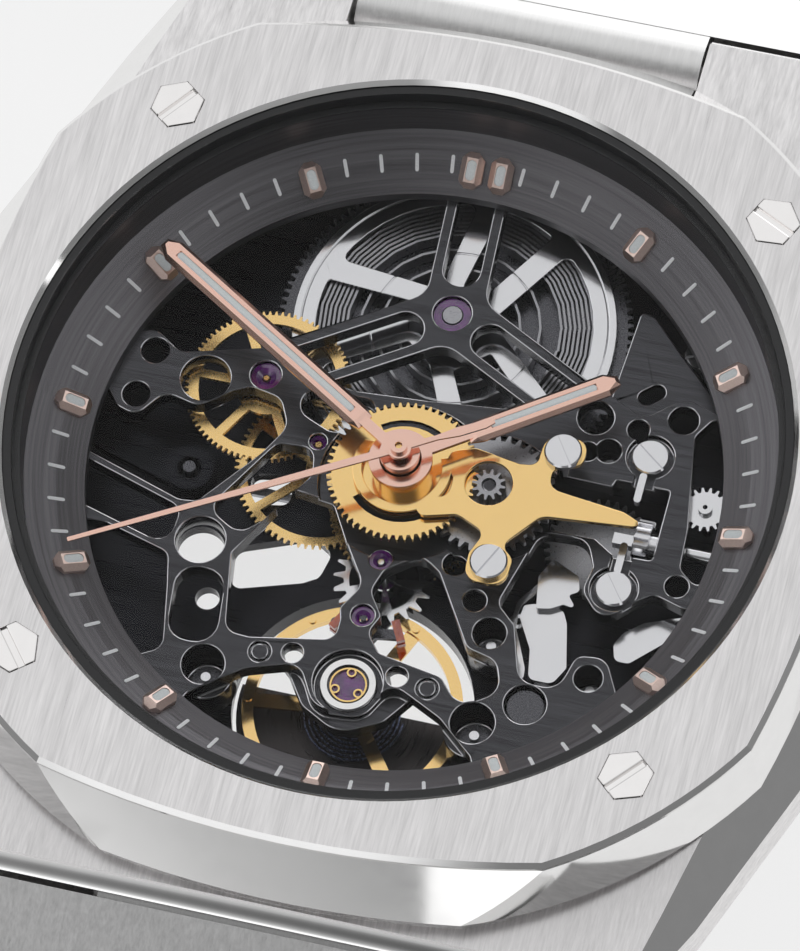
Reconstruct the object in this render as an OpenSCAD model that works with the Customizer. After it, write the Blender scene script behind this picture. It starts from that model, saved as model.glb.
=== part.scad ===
// Skeleton automatic wristwatch on an integrated steel bracelet.
// The case back rests on z = 0, +Y points to twelve o'clock and +X to three o'clock.

/* [Case] */
// Half height of the bezel across its twelve and six o'clock sides
bezel_half = 18.3; // [18:0.1:18.6]
// Radius of the bezel's gently bowed sides
bezel_side_r = 43.9; // [42:0.1:46]
// Radius of the bezel's four short corner sides
bezel_corner_r = 19.95; // [19.8:0.05:20.1]
// Height of the bezel's top face above the case back
bezel_top = 10.6; // [10.5:0.05:10.8]
// Radius of the bezel's opening
bezel_bore_r = 15.95; // [15.9:0.01:16]
// Half width of the case at three and nine o'clock
case_half_w = 20.2; // [20:0.1:20.4]
// Distance of each bezel screw from the centre line
bezel_screw_xy = 12.55; // [12.4:0.05:12.7]

/* [Dial] */
// Radius of the chapter ring's opening
dial_opening_r = 13; // [12.9:0.05:13.1]
// Outer radius of the chapter ring
chapter_r = 15.6; // [15.5:0.01:15.65]
// Distance from the centre to the middle of each hour marker
marker_r = 13.95; // [13.9:0.01:14]
// Dial angle of the hour hand, clockwise from twelve
hour_angle = 55.3; // [0:0.1:360]
// Dial angle of the minute hand, clockwise from twelve
minute_angle = 301.3; // [0:0.1:360]
// Dial angle of the seconds hand, clockwise from twelve
seconds_angle = 240.2; // [0:0.1:360]

/* [Movement] */
// Radius of the main plate
plate_r = 15.6; // [15.55:0.01:15.65]
// Height of the main plate's top face
plate_top = 6; // [5.98:0.01:6.02]
// Thickness of the skeletonised part of the main plate
plate_t = 0.8; // [0.75:0.01:0.82]
// Clearance between turning parts
run_gap = 0.05; // [0.03:0.01:0.06]

/* [Bracelet] */
// Thickness of a link
link_t = 3.2; // [3.1:0.05:3.3]
// Distance between a link's two pins
link_pitch = 9.5; // [9.4:0.1:9.8]
// Number of links on each side
link_count = 5; // [5:1:5]
// Half width of the first link
link_half_w = 13.9; // [13.6:0.1:14]
// How much narrower, on each side, every next link is
link_step = 0.8; // [0.7:0.05:0.85]

/* [Hidden] */
$fn = 64;
e = 0.01;

steel = [0.78, 0.78, 0.79];
black = [0.17, 0.17, 0.18];
gold = [0.93, 0.76, 0.46];
rose = [0.90, 0.66, 0.56];
ruby = [0.45, 0.12, 0.55];

// Arbor positions
barrel_xy = [0, 7.9];
second_xy = [-6.77, 3.5];
third_xy = [-3.9, 1.03];
escape_xy = [-0.08, -3.52];
fork_xy = [-0.15, -6.12];
balance_xy = [0, -9.1];
minute_xy = [3.61, 0.07];
setting_xy = [12.1, 1.9];
crown_wheel_xy = [8, 0];

// Heights
deck_z = 2.4;
deck_t = 0.6;
stem_z = 4.6;
crown_x = 19.7;
cover_z = 7.2;
plate_z = plate_top - plate_t;
base_z = 8;
ring_z = 6;

// Tooth counts and modules, so that every pair shares its centre distance
barrel_teeth = 120;
second_pinion_teeth = 13;
second_teeth = 80;
third_pinion_teeth = 10;
third_teeth = 75;
fourth_pinion_teeth = 10;
fourth_teeth = 72;
escape_pinion_teeth = 8;
hour_teeth = 60;
minute_pinion_teeth = 12;
minute_teeth = 36;
cannon_teeth = 15;
ratchet_teeth = 96;
crown_wheel_teeth = 86;
function span(a, b) = norm(b - a);
function pair_module(a, b, teeth_a, teeth_b) = 2 * span(a, b) / (teeth_a + teeth_b);
barrel_m = pair_module(barrel_xy, second_xy, barrel_teeth, second_pinion_teeth);
second_m = pair_module(second_xy, third_xy, second_teeth, third_pinion_teeth);
third_m = pair_module(third_xy, [0, 0], third_teeth, fourth_pinion_teeth);
fourth_m = pair_module([0, 0], escape_xy, fourth_teeth, escape_pinion_teeth);
hour_m = pair_module([0, 0], minute_xy, hour_teeth, minute_pinion_teeth);
minute_m = pair_module([0, 0], minute_xy, minute_teeth, cannon_teeth);
ratchet_m = pair_module(barrel_xy, crown_wheel_xy, ratchet_teeth, crown_wheel_teeth);

// Bracelet geometry
knuckle_r = link_t / 2;
joint_gap = 0.15;
upper_pin = [21.3, 5.2];
lower_pin = [19.3, 5.2];
end_link = 3.6;
end_tilt = 22;
drop = upper_pin[1] - knuckle_r;
upper_lens = [for (i = [1:link_count]) link_pitch];
upper_tilts = [for (i = [1:link_count]) i == 1 ? asin(drop / link_pitch) : 0];
lower_lens = [for (i = [1:link_count]) i == 1 ? end_link : link_pitch];
lower_tilts = [for (i = [1:link_count]) i == 1 ? end_tilt :
    i == 2 ? asin((drop - end_link * sin(end_tilt)) / link_pitch) : 0];
pin_r = 0.5;
function link_w(i) = link_half_w - link_step * i;
function tongue_w(i) = 0.53 * link_w(i);
// Distance from the centre, and height, of the pin that link i turns on
function pin_at(start, lens, tilts, i) =
    i == 0 ? start :
    pin_at(start, lens, tilts, i - 1) + lens[i - 1] * [cos(tilts[i - 1]), -sin(tilts[i - 1])];
leaf_len = 15;
leaf_t = 1.6;
centre_len = 27;

// ---------- shape helpers ----------

function unit(v) = v / norm(v);
function polar(r, a) = [r * cos(a), r * sin(a)];
function turn(a) = a > 180 ? a - 360 : (a < -180 ? a + 360 : a);
function heading(a, b) = atan2(b[1] - a[1], b[0] - a[0]);

// The arc that rounds corner b between a and c; b is [x, y, radius]
function corner(a, b, c, steps) =
    let (p = [b[0], b[1]],
         u = unit([a[0], a[1]] - p),
         v = unit([c[0], c[1]] - p),
         half = acos(u * v) / 2,
         room = 0.49 * min(norm([a[0], a[1]] - p), norm([c[0], c[1]] - p)),
         want = len(b) > 2 ? b[2] : 0,
         r = min(want, room * tan(half)))
    r < 0.02 || half > 89.5 ? [p] :
    let (mid = p + unit(u + v) * r / sin(half),
         start = p + u * r / tan(half) - mid,
         stop = p + v * r / tan(half) - mid,
         from = atan2(start[1], start[0]),
         sweep = turn(atan2(stop[1], stop[0]) - from))
    [for (i = [0:steps]) mid + polar(r, from + sweep * i / steps)];

function rounded(pts, steps = 5) =
    let (n = len(pts))
    [for (i = [0:n - 1]) each corner(pts[(i + n - 1) % n], pts[i], pts[(i + 1) % n], steps)];

// A closed outline of rounded corners raised to a slab
module slab(pts, z, h) {
    translate([0, 0, z]) linear_extrude(h) polygon(rounded(pts));
}

module disc(r, z, h, at = [0, 0]) {
    translate([at[0], at[1], z]) cylinder(h = h, r = r);
}

module ring(r_out, r_in, z, h, at = [0, 0]) {
    difference() {
        disc(r_out, z, h, at);
        disc(r_in, z - e, h + 2 * e, at);
    }
}

// A straight bar with round ends between two points
module bar(a, b, w, z, h) {
    disc(w / 2, z, h, a);
    disc(w / 2, z, h, b);
    translate([a[0], a[1], z]) rotate(heading(a, b))
        translate([0, -w / 2, 0]) cube([span(a, b), w, h]);
}

// Gear outline with straight-flanked teeth; one tooth is centred on angle phase
function gear_outline(teeth, m, phase) =
    let (pitch = 360 / teeth,
         root = m * teeth / 2 - 1.2 * m,
         tip = m * teeth / 2 + 0.85 * m)
    [for (i = [0:teeth - 1]) let (a = phase + pitch * i) each
        [polar(root, a - 0.29 * pitch), polar(tip, a - 0.11 * pitch),
         polar(tip, a + 0.11 * pitch), polar(root, a + 0.29 * pitch)]];

module gear(teeth, m, phase, z, h, at = [0, 0]) {
    translate([at[0], at[1], z]) linear_extrude(h) polygon(gear_outline(teeth, m, phase));
}

// Phase that puts a tooth, or a gap, of the gear at a towards b
function tooth_to(a, b) = heading(a, b);
function gap_to(a, b, teeth) = heading(a, b) + 180 / teeth;

// A sector-shaped window between two radii, cut out of a spoked wheel
function sector(r_in, r_out, from, to) =
    let (steps = 8)
    concat([for (i = [0:steps]) polar(r_out, from + (to - from) * i / steps)],
           [for (i = [0:steps]) polar(r_in, to - (to - from) * i / steps)]);

module windows(count, r_in, r_out, spoke_deg, z, h, at, start = 0) {
    step = 360 / count;
    for (k = [0:count - 1])
        translate([at[0], at[1], z]) rotate(start + k * step)
            linear_extrude(h)
                polygon(sector(r_in, r_out, spoke_deg / 2, step - spoke_deg / 2));
}

// A solid whose plan is bounded by four bowed sides and a round corner line
module cushion(z, h, half_y, half_x, corner_r, flare_y = 0, flare_x = 0, flare_c = 0) {
    translate([0, 0, z]) intersection() {
        cylinder(h = h, r1 = corner_r + flare_c, r2 = corner_r, $fn = 128);
        for_side(half_y, 0, h, flare_y);
        for_side(half_y, 180, h, flare_y);
        for_side(half_x, 90, h, flare_x);
        for_side(half_x, 270, h, flare_x);
    }
}

module for_side(half, angle, h, flare) {
    rotate(angle) translate([0, half - bezel_side_r, 0])
        cylinder(h = h, r1 = bezel_side_r + flare, r2 = bezel_side_r, $fn = 256);
}

// ---------- case ----------

// Flanks of one quarter of the case: from x, y to x, y, top height, bevel, bottom height
case_flanks = [[20.2, 6, 19, 10.7, 8.3, 0.85, 1.4],
               [19, 10.7, 16.2, 16.6, 7.85, 0.95, 2],
               [16.2, 16.6, 14, 22.3, 7.15, 0.95, 3]];
case_profile = [[22.3, 3.6], [22.3, 6.8], [16.6, 7.4], [10.7, 8.2], [6, 8.35], [-6, 8.35],
                [-10.7, 8.2], [-16.6, 7.4], [-20.3, 6.95], [-20.3, 3.6], [-16.6, 2.4],
                [-10.7, 1.5], [-6, 1.4], [6, 1.4], [10.7, 1.5], [16.6, 2.4]];

// Everything on the inner side of a bevelled flank at distance d, facing angle a
module flank(d, a, top, bevel, bottom) {
    foot = 1.2;
    over = 4;
    rotate(a) rotate([90, 0, 0]) translate([0, 0, -50]) linear_extrude(100)
        polygon([[-60, bottom - over], [d - foot - over, bottom - over], [d, bottom + foot],
                 [d, top - bevel], [d - bevel - over, top + over], [-60, top + over]]);
}

module case_shell() {
    intersection() {
        translate([-30, 0, 0]) rotate([90, 0, 90]) linear_extrude(60) polygon(case_profile);
        flank(case_half_w, 0, 8.35, 0.8, 1.4);
        flank(case_half_w, 180, 8.35, 0.8, 1.4);
        for_flanks();
    }
}

module for_flanks() {
    intersection() {
        flank_set(1, 1);
        flank_set(-1, 1);
        flank_set(1, -1);
        flank_set(-1, -1);
    }
}

module flank_set(sx, sy) {
    mirror([sx < 0 ? 1 : 0, 0, 0]) mirror([0, sy < 0 ? 1 : 0, 0]) intersection() {
        one_flank(case_flanks[0]);
        one_flank(case_flanks[1]);
        one_flank(case_flanks[2]);
    }
}

module one_flank(f) {
    a = atan2(f[0] - f[2], f[3] - f[1]);
    flank(f[0] * cos(a) + f[1] * sin(a), a, f[4], f[5], f[6]);
}

module x_bore(y, z, r, from, to) {
    translate([from, y, z]) rotate([0, 90, 0]) cylinder(h = to - from, r = r);
}

module case_middle() {
    color(steel) difference() {
        union() {
            case_shell();
            // Platform that fills the space under the bezel
            cushion(4, 4, 19.55, 18.6, 20.3);
        }
        disc(16.6, 2.1, 9);
        disc(14.6, 0, 9);
        cushion(base_z, 3, 19.8, 18.9, 20.6);
        // Notches that take the first link's tongue
        translate([-tongue_w(0) - joint_gap, upper_pin[0] - 1.75, 0])
            cube([2 * tongue_w(0) + 2 * joint_gap, 10, 10]);
        translate([-tongue_w(0) - joint_gap, -lower_pin[0] - 10 + 1.75, 0])
            cube([2 * tongue_w(0) + 2 * joint_gap, 10, 6.4]);
        link_end_trim(upper_pin[0], 1);
        link_end_trim(-lower_pin[0], -1);
        x_bore(upper_pin[0], upper_pin[1], pin_r + 0.03, -12, 12);
        x_bore(-lower_pin[0], lower_pin[1], pin_r + 0.03, -12, 12);
        // Crown tube bore and crown recess
        x_bore(0, stem_z, 1.02, 15, 22);
        x_bore(0, stem_z, 3.3, 19.3, 22);
        for (x = [-1, 1], y = [-1, 1])
            disc(0.62, 5.6, 4, [x * bezel_screw_xy, y * bezel_screw_xy]);
    }
}

// Rounds the end of a lug round its pin and frees the path of the link's hollow end
module link_end_trim(y, side) {
    z = upper_pin[1];
    difference() {
        translate([-15, side > 0 ? y : y - 4, 0]) cube([30, 4, 9]);
        x_bore(y, z, knuckle_r, -16, 16);
        translate([-16, side > 0 ? y - 1 : y - 0.35, z + 0.2]) cube([32, side > 0 ? 1.7 : 1.35, 1.7]);
    }
    difference() {
        x_bore(y, z, knuckle_r + 2 * joint_gap, -15, 15);
        x_bore(y, z, knuckle_r, -16, 16);
        translate([-16, y - 4, z - 0.3]) cube([32, 8, 4]);
    }
}

module bezel() {
    skirt_h = 2.25;
    z = base_z + skirt_h;
    edge = 0.2;
    color(steel) difference() {
        union() {
            // Skirt with the polished facets
            cushion(base_z, skirt_h, bezel_half - 0.02, bezel_half - 0.02, bezel_corner_r - 0.02, 1.5,
                  0.55, 0.62);
            cushion(z, bezel_top - edge - z, bezel_half, bezel_half, bezel_corner_r);
            cushion(bezel_top - edge, edge, bezel_half - edge, bezel_half - edge,
                    bezel_corner_r - edge, edge, edge, edge);
        }
        disc(bezel_bore_r, base_z - e, 3);
        translate([0, 0, bezel_top - 0.18]) cylinder(h = 0.2, r1 = bezel_bore_r, r2 = bezel_bore_r + 0.2);
        for (k = [0:3])
            screw_seat(45 + 90 * k);
    }
}

module screw_seat(a) {
    r = bezel_screw_xy * sqrt(2);
    translate(concat(polar(r, a), [bezel_top - 0.25])) rotate(screw_turn(a))
        cylinder(h = 1, r = 1.14, $fn = 6);
    disc(0.62, base_z, 3, polar(r, a));
}

// Each hexagonal head stands at its own small angle, as screws do
function screw_turn(a) = a + (a == 135 ? 8 : a == 45 ? 19 : a == 315 ? 4 : -6);

module bezel_screws() {
    r = bezel_screw_xy * sqrt(2);
    color(steel) for (k = [0:3]) let (a = 45 + 90 * k)
        difference() {
            union() {
                translate(concat(polar(r, a), [bezel_top - 0.24])) rotate(screw_turn(a))
                    cylinder(h = 0.3, r = 1.1, $fn = 6);
                disc(0.6, 5.8, bezel_top - 0.2 - 5.8, polar(r, a));
            }
            translate(concat(polar(r, a), [bezel_top - 0.1])) rotate(screw_turn(a) + 90)
                translate([-2, -0.13, 0]) cube([4, 0.26, 1]);
        }
}

module crystal() {
    r = 15.57;
    color([0.8, 0.9, 0.95, 0.3]) {
        disc(r, 9.75, 0.8);
        translate([0, 0, 10.55]) cylinder(h = 0.12, r1 = r, r2 = r - 0.12);
    }
}

module gaskets() {
    color(black) {
        ring(15.93, 15.6, 9.62, 0.73);
        ring(15.6 + e, 15.3, 9.62, 0.11);
        ring(14.53, 14.22, 1.62, 0.16);
    }
}

module chapter_ring() {
    color([0.3, 0.3, 0.31]) rotate_extrude($fn = 128)
        polygon([[dial_opening_r, ring_z], [chapter_r, ring_z], [chapter_r, 9.6],
                 [15.35, 9.6], [15.35, 7.8], [14.1, 7.2], [dial_opening_r, 6.5]]);
}

// One elongated octagonal baton with bevelled flanks and a groove for its filling
module marker(len, w) {
    h = 0.46;
    low = 0.22;
    cut = 0.3;
    x = len / 2;
    y = w / 2;
    difference() {
        intersection() {
            linear_extrude(h)
                polygon([[x, y - cut], [x - cut, y], [cut - x, y], [-x, y - cut],
                         [-x, cut - y], [cut - x, -y], [x - cut, -y], [x, cut - y]]);
            translate([0, y, 0]) rotate([90, 0, 0]) linear_extrude(w) bevelled(x, low, h, 0.26);
            translate([-x, 0, 0]) rotate([90, 0, 90]) linear_extrude(len) bevelled(y, low, h, 0.24);
        }
        bar([-x + 0.54, 0], [x - 0.54, 0], w * 0.42, h - 0.1, 1);
    }
}

module bevelled(half, low, high, bevel) {
    polygon([[-half, 0], [half, 0], [half, low], [half - bevel, high], [bevel - half, high], [-half, low]]);
}

module hour_markers() {
    slope = atan(0.7 / 1.1);
    color(rose) for (hour = [1:12]) rotate(90 - 30 * hour)
        for (off = hour == 12 ? [-0.62, 0.62] : [0])
            translate([marker_r, off, 7.06]) rotate([0, -slope * 0.75, 0])
                marker(1.55, 0.96);
}

module case_back() {
    color(steel) difference() {
        union() {
            disc(15.9, 0, 1.2);
            disc(14.55, 1.1, 0.9);
        }
        disc(11.6, -e, 3);
        disc(12.1, 0.2, 3);
        disc(13.6, 1.25, 3);
        // Groove for the sealing ring
        ring(14.6, 14.2, 1.6, 0.2);
        // Slots for the case opener
        for (k = [0:5]) rotate(60 * k + 30)
            translate([14, -0.9, -e]) cube([1.2, 1.8, 0.5]);
    }
}

module case_back_crystal() {
    color([0.8, 0.9, 0.95, 0.3]) disc(12.08, 0.22, 0.85);
}

module movement_holder() {
    color(steel) difference() {
        ring(16.55, 15.65, 2.1, 5.9 - 2.1);
        x_bore(0, stem_z, 0.7, 14, 18);
    }
}

// ---------- crown and keyless works ----------

module crown_tube() {
    color(steel) translate([16.65, 0, stem_z]) rotate([0, 90, 0]) difference() {
        cylinder(h = 2.9, r = 1);
        translate([0, 0, -e]) cylinder(h = 5, r = 0.5);
    }
}

module crown() {
    flutes = 24;
    color(steel) translate([crown_x, 0, stem_z]) rotate([0, 90, 0]) difference() {
        union() {
            cylinder(h = 0.4, r1 = 2.5, r2 = 2.85);
            translate([0, 0, 0.4]) cylinder(h = 2.8, r = 2.85);
            translate([0, 0, 3.2]) cylinder(h = 0.4, r1 = 2.85, r2 = 2.3);
        }
        for (k = [0:flutes - 1]) rotate(360 / flutes * k)
            translate([2.95, 0, -e]) cylinder(h = 3.2, r = 0.22, $fn = 16);
        translate([0, 0, -e]) cylinder(h = 1.5, r = 0.36);
    }
}

module winding_stem() {
    color(steel) {
        x_bore(0, stem_z, 0.35, 10.9, crown_x + 1.49);
        // Square that carries the clutch wheel
        translate([8.7, -0.24, stem_z - 0.24]) cube([2.25, 0.48, 0.48]);
    }
}

module clutch_wheel() {
    teeth = 16;
    color(steel) translate([9.62, 0, stem_z]) rotate([0, 90, 0]) difference() {
        union() {
            linear_extrude(0.62) polygon(gear_outline(teeth, 0.118, 6));
            translate([0, 0, 0.6]) cylinder(h = 0.35, r = 0.62);
        }
        translate([-0.27, -0.27, -e]) cube([0.54, 0.54, 3]);
    }
}

module setting_wheel() {
    color(steel) difference() {
        union() {
            gear(18, 0.1, 10, 4.9, 0.22, setting_xy);
            disc(0.3, 4.6, 0.75, setting_xy);
        }
        disc(0.1, 4.5, 1, setting_xy);
    }
}

// Flat steel levers and springs that shift the clutch
module keyless_levers() {
    z = 4.15;
    color(steel) {
        // Setting lever spring
        slab([[5.8, -3.45, 0.1], [6.2, -3.3, 0.3], [7.4, -3.3, 0.4], [7.7, -3.9, 0.2], [8.15, -5.8, 0.2],
              [7.75, -6.6, 0.4], [6.75, -6.6, 0.3], [6.5, -5.3, 0.3], [5.75, -4, 0.2]], z - 0.3, 0.3);
        ring(0.6, 0.35, deck_z + deck_t, z - 0.3 - deck_z - deck_t, [7.3, -6.1]);
        // Setting lever
        slab([[6.5, -1.3, 0.15], [7.7, -1.85, 0.2], [7.9, -2.5, 0.2], [7.5, -2.75, 0.1], [7.95, -3.3, 0.2],
              [7.4, -3.2, 0.1], [6.9, -3.5, 0.2], [6.35, -3.6, 0.1], [6.1, -2.2, 0.2]], z, 0.3);
        // Thin spring along the lever's left side
        slab([[6.05, -2.2, 0.1], [6.3, -2.35, 0.1], [5.6, -3.4, 0.5], [5.65, -4.3, 0.5], [6.45, -6, 0.4],
              [6.5, -6.5, 0.1], [6.2, -6.4, 0.2], [5.4, -4.5, 0.6], [5.4, -3.2, 0.6]], z - 0.7, 0.3);
        ring(0.32, 0.16, deck_z + deck_t, z - 0.7 - deck_z - deck_t, [5.6, -3.9]);
        // Yoke
        slab([[9.8, -4.5, 0.3], [10.1, -3.9, 0.3], [10.8, -3.3, 0.4], [12.6, -2.6, 0.3], [13.1, -2.9, 0.2],
              [11.9, -3.9, 0.5], [10.6, -5.2, 0.3], [10, -5.2, 0.3]], z, 0.35);
        disc(0.3, deck_z + deck_t, z - deck_z - deck_t, [10.3, -4.7]);
        // Two jumper fingers lying by the clutch
        bar([9.42, 2.4], [9.42, 1.35], 0.3, 5.65, 0.35);
        bar([9.4, -0.8], [9.4, -1.9], 0.3, 5.65, 0.35);
    }
}

// Wheel under the winding pinion, and on the same arbor the one that turns the ratchet
module crown_wheel() {
    at = crown_wheel_xy;
    color(steel) {
        gear(35, 0.12, 0, 3.08, 0.4, at);
        gear(crown_wheel_teeth, ratchet_m, gap_to(at, barrel_xy, crown_wheel_teeth), 2.08, 0.26, at);
        disc(0.32, 2.08, 1.4, at);
    }
}

// ---------- plates and bridges ----------

// Screw and pin holes of the main plate: x, y, radius
plate_holes = [
    [-11.5, 3.6, 0.58], [-11.75, 1.5, 0.57], [-2.5, -8.36, 0.43],
    [10.43, 5.2, 0.62], [8.73, 4.4, 0.45], [11.9, -2.1, 0.48], [6.9, 4.55, 0.75],
    [2.93, -3.1, 0.5], [4.1, -4.5, 0.48], [1.88, -8.45, 0.44], [6.95, 3, 0.42]];
// Deep holes with a steel pin at the bottom: x, y, radius
pin_holes = [[-5.9, -9.64, 0.87], [5.34, -9.75, 0.9], [9.4, -6.83, 0.58],
             [5.04, -5.77, 0.68], [7.77, 3.2, 0.53]];
// Screws that hold the motion work cover: x, y
cover_screws = [[6.24, 2.03], [4.5, -3.4]];
// Dowels pressed flush into the plate: x, y
dowel_rings = [[-3.8, -8.6], [3.2, -8.7]];
jewel_holes = [[second_xy, 0.64], [third_xy, 0.36], [fork_xy, 0.48], [escape_xy, 0.48]];

// Opening over the barrel, left of the left bridge to the right bank
module barrel_opening() {
    z = plate_z - e;
    h = plate_t + 2 * e;
    slab([[-16, 4.2], [-12.6, 4.2, 0.4], [-11.7, 4.6, 0.8], [-10.5, 3.75, 0.7], [-9.6, 4, 0.5], [-7.3,
          4.65, 0.3],
          [-6.95, 4.9, 0.1], [-6.3, 5.2, 0.2], [-5.2, 4.3, 0.2], [-4.3, 3.75, 0.2], [-3, 3.6, 0.5], [0,
                3.8, 0.5],
          [3.6, 4.2, 0.5], [4.6, 4.2, 0.3], [5.6, 5.1, 0.3], [6.6, 5.7, 0.3], [7.34, 5.65, 0.2],
          [8.8, 4.95, 0.7], [10.3, 6.25, 0.8], [11.6, 5.8, 0.3], [16, 5.9], [16, 16], [-16, 16]], z, h);
}

// Opening between the left bridge and the upper left arm, with the gold wheel showing in it
module left_opening() {
    slab([[-16, 1.6], [-13, 1.6, 0.2], [-12.35, 0.8, 0.5], [-11.5, 0.55, 0.6], [-10.6, 1.85, 0.7],
          [-9.1, 1.5, 0.8],
          [-7.9, 2.5, 0.3], [-7.2, 2.85, 0.6], [-5.9, 2.6, 0.7], [-5.3, 1.4, 0.8], [-6.05, 0, 1],
          [-8.05, -2.65, 0.5], [-8.8, -2.72, 0.6], [-13, -1.4, 0.2], [-16, -0.5]], plate_z - e,
                plate_t + 2 * e);
}

module arm_openings() {
    z = plate_z - e;
    h = plate_t + 2 * e;
    // Between the two left arms
    slab([[-16, -2.6], [-12.95, -1.75], [-8.6, -3.08, 0.6], [-8.7, -4.85, 0.8], [-12.3, -3.85], [-16,
          -3.2]], z, h);
    // Below the lower left arm
    slab([[-16, -4.4], [-12.2, -4.4, 0.3], [-11.4, -4.4, 0.4], [-8.6, -5.15, 0.5], [-8.25, -6.6, 0.5],
          [-7.7, -9.3, 0.6], [-8.6, -9.8, 0.3], [-16, -13]], z, h);
    // Long slot in the rising arm
    slab([[-7.5, -2.85, 0.6], [-6, -3.7, 0.75], [-5.2, -2.9, 0.5], [-3.75, -0.5, 0.6], [-4, 0.7, 0.55],
          [-5.5, 0.6, 0.5]], z, h);
    // Oval hole under the round one
    slab([[-8.05, -5.5, 0.85], [-6.05, -5.5, 0.9], [-5.65, -8.75, 0.9], [-7.7, -8.75, 0.9]], z, h);
}

// The two openings that show the escapement
module escapement_openings() {
    z = plate_z - e;
    h = plate_t + 2 * e;
    slab([[-4.3, -1.3, 0.3], [-6.05, -4.6, 0.25], [-5.4, -8, 0.7], [-4.4, -8.05, 0.4], [-1, -7.4, 0.6],
          [-1, -6.5, 0.4], [-1.15, -6, 0.3], [-0.5, -4.8, 0.7], [-1.7, -3, 0.4], [-2.6, -1.5, 0.3]], z, h);
    slab([[1.5, -3, 0.7], [2.4, -3.6, 0.6], [4.3, -6.6, 0.6], [5.6, -6.9, 0.7], [6.1, -8.2, 0.8], [4.6,
          -9.2, 0.9],
          [3.6, -8.05, 0.5], [0.9, -7.6, 0.5], [0.25, -6.8, 0.5], [0.6, -6, 0.3], [-0.1, -5, 0.6],
          [0.2, -4, 0.5]], z, h);
}

module right_openings() {
    z = plate_z - e;
    h = plate_t + 2 * e;
    // Slot round the clutch wheel
    slab([[5.4, 1.7, 0.3], [8.3, 1.65, 0.1], [8.4, 2, 0.1], [10.65, 2, 0.15], [10.65, -1.2, 0.15], [9,
          -1.25, 0.1],
          [8.2, -0.75, 0.2], [5.4, -0.75, 0.2]], z, h);
    // Crescent at three o'clock
    slab([[11.6, 5.5, 0.4], [11.05, 4.6, 0.5], [11.75, 0.5, 3], [11.85, -1.3, 0.4], [12.6, -1.9, 0.4],
          [14.3, -1, 0.5],
          [14.4, 2.5, 2], [13, 5.6, 0.5]], z, h);
    // Opening over the setting levers, round the lower spring screw
    slab([[5.95, -0.95, 0.6], [7.9, -0.85, 0.8], [8.4, -2, 0.4], [8.2, -3.1, 0.7], [9.3, -4.3, 0.9],
          [10.35, -3.2, 0.5],
          [11.1, -2.65, 0.5], [12.3, -3, 0.3], [14.4, -3, 0.3], [12.2, -7.6, 0.3], [10.7, -7.3, 0.2],
          [9.9, -5.8, 0.7], [8.7, -5.95, 0.5], [8.3, -7.6, 0.8], [6.7, -7.55, 0.8], [5.95, -5.2, 0.4],
          [5.05, -4.4, 0.5]], z, h);
}

module balance_opening() {
    slab([[5.6, -11.2, 0.2], [4, -9.85, 1.5], [1.7, -8.75, 0.7], [0.9, -10.35, 1], [-1.1, -10.5, 1],
          [-2.1, -8.75, 0.7], [-4.2, -9.45, 1.5], [-6.2, -11, 0.2], [-7.5, -14.2, 0.5], [0, -15.2, 4],
          [7, -14.2, 0.5]], plate_z - e, plate_t + 2 * e);
}

module main_plate() {
    wall = 0.32;
    color(black) difference() {
        union() {
            difference() {
                disc(plate_r, plate_z, plate_t);
                barrel_opening();
                left_opening();
                arm_openings();
                escapement_openings();
                right_openings();
                balance_opening();
                disc(1.02, 0, 9, [-7.45, -4.3]);
                disc(1.03, 0, 9, [-9.15, 2.82]);
                slab([[-5, 3.2, 0.5], [-5.05, 2.2, 0.7], [-3.6, 1.6, 0.6], [-2, 1.7, 0.4], [-2, 3.4, 0.5]],
                     0, 9);
            }
            // Lower step between the barrel and the dial ring
            difference() {
                slab([[7.2, 5.4], [8.8, 4.6], [10.3, 5.8], [12.4, 5.6], [11.2, 6.8, 0.3], [9.6, 8.3, 0.6],
                      [8.1, 9.8, 0.3], [7.5, 9.9, 0.2]], plate_z, 0.3);
                disc(7.32, 0, 9, barrel_xy);
                bar([8.62, 6.12], [9, 6.45], 0.68, 0, 9);
            }
            // Seat below the shock setting
            slab([[-3.4, -8.2], [-2.6, -8.9, 0.6], [-1.7, -10.2, 0.8], [0, -11.1, 1.4], [1.7, -10.2, 0.8],
                  [2.6, -8.9, 0.6], [3.4, -8.2]], 4.5, plate_z - 4.5 + e);
            // Sockets below the deep holes
            for (p = pin_holes) disc(p[2] + wall, 3.7, plate_z - 3.7, p);
            // Outer wall
            difference() {
                ring(plate_r, plate_r - 0.5, deck_z + deck_t, plate_z - deck_z - deck_t);
                disc(8, 0, 9, barrel_xy);
                x_bore(0, stem_z, 1.1, 13, 18);
            }
        }
        for (p = plate_holes) disc(p[2], 0, 9, p);
        for (p = pin_holes) disc(p[2], 3.95, 9, p);
        for (p = dowel_rings) ring(0.46, 0.35, 5.75, 1, p);
        for (j = jewel_holes) disc(j[1], 0, 9, j[0]);
        // Recess under the motion work, with its floor bored for the centre tube
        disc(3.5, 5.7, 9);
        disc(2.85, 5.7, 9, minute_xy);
        disc(1.25, 0, 9);
        // Blind hole with a bright floor, and the screw recesses
        disc(0.86, 5.3, 9, [7.2, -8.5]);
        disc(0.98, 5.65, 9, [9.5, 3.3]);
        disc(0.98, 5.65, 9, [9.45, -2.75]);
        for (p = cover_screws) disc(0.27, 5, 9, p);
        bar([9.5, 3.3], [9.5, 1], 0.85, 5.65, 9);
        bar([9.45, -0.7], [9.45, -2.7], 0.85, 5.65, 9);
        disc(1.42, 5.5, 9, balance_xy);
        disc(1.13, 0, 9, balance_xy);
    }
    // Stud of the minute wheel
    color(black) disc(0.27, 5.6, 1.6, minute_xy);
}

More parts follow.
